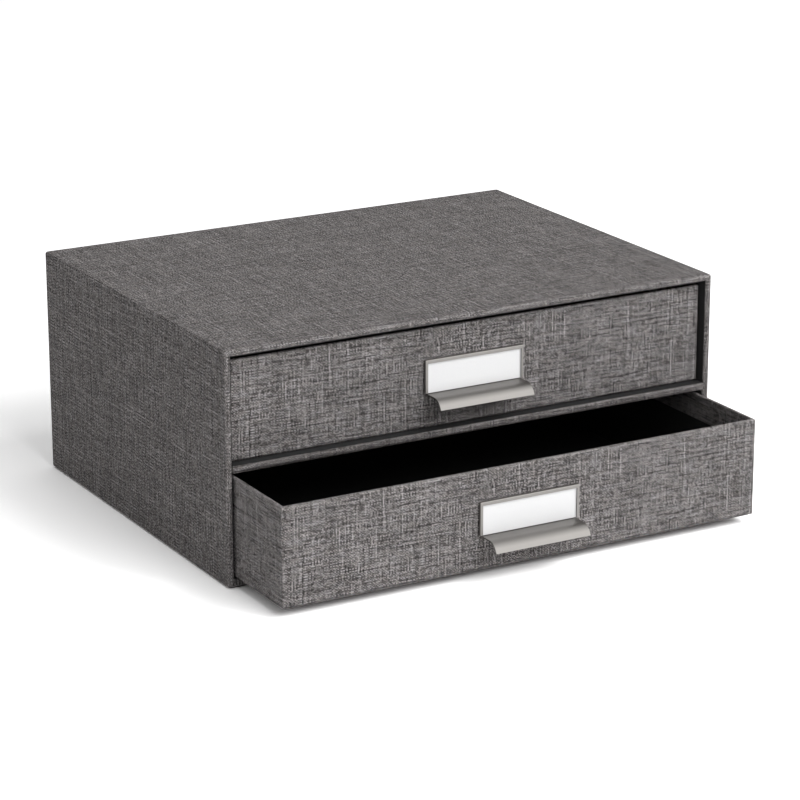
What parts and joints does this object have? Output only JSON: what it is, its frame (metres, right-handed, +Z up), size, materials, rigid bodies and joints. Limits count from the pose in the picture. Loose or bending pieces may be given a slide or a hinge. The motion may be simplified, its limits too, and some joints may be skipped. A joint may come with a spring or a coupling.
{
  "type": "file box with drawer",
  "caption": "Paper-covered fibreboard file box: open-fronted casing with a middle shelf and stacked sliding trays, each with a metal label holder and finger pull.",
  "frame": {"origin": "middle of the casing's underside, on the surface that it stands on", "axes": "+X to the right seen from the front, +Y to the back of the casing, +Z up; the drawers open towards -Y"},
  "size_m": [0.33, 0.3268, 0.142],
  "materials": {
    "linen_paper": "matte",
    "black_paper": "matte",
    "greyboard": "matte",
    "satin_nickel": "satin",
    "white_card": "matte"
  },
  "bodies": {
    "casing": {"casing_cover_paper": "linen_paper", "casing_bottom_board": "greyboard", "casing_top_board": "greyboard", "casing_left_board": "greyboard", "casing_right_board": "greyboard", "casing_back_board": "greyboard", "casing_shelf_board": "greyboard", "casing_base_sheet": "linen_paper", "casing_back_sheet": "linen_paper", "shelf_cover_paper": "linen_paper", "upper_bay_lining": "black_paper", "lower_bay_lining": "black_paper"},
    "upper_drawer": {"upper_drawer_floor_board": "greyboard", "upper_drawer_front_board": "greyboard", "upper_drawer_back_board": "greyboard", "upper_drawer_left_board": "greyboard", "upper_drawer_right_board": "greyboard", "upper_drawer_cover_paper": "linen_paper", "upper_drawer_lining_paper": "black_paper", "upper_drawer_base_sheet": "linen_paper", "upper_drawer_label_holder": "satin_nickel", "upper_drawer_left_rivet": "satin_nickel", "upper_drawer_right_rivet": "satin_nickel", "upper_drawer_label_card": "white_card"},
    "lower_drawer": {"lower_drawer_floor_board": "greyboard", "lower_drawer_front_board": "greyboard", "lower_drawer_back_board": "greyboard", "lower_drawer_left_board": "greyboard", "lower_drawer_right_board": "greyboard", "lower_drawer_cover_paper": "linen_paper", "lower_drawer_lining_paper": "black_paper", "lower_drawer_base_sheet": "linen_paper", "lower_drawer_label_holder": "satin_nickel", "lower_drawer_left_rivet": "satin_nickel", "lower_drawer_right_rivet": "satin_nickel", "lower_drawer_label_card": "white_card"}
  },
  "joints": [
    {"name": "upper_drawer_slide", "type": "slide", "parent": "casing", "child": "upper_drawer", "axis": [0, -1, 0], "range_m": [0, 0.2]},
    {"name": "lower_drawer_slide", "type": "slide", "parent": "casing", "child": "lower_drawer", "axis": [0, -1, 0], "range_m": [-0.063, 0.137]}
  ]
}
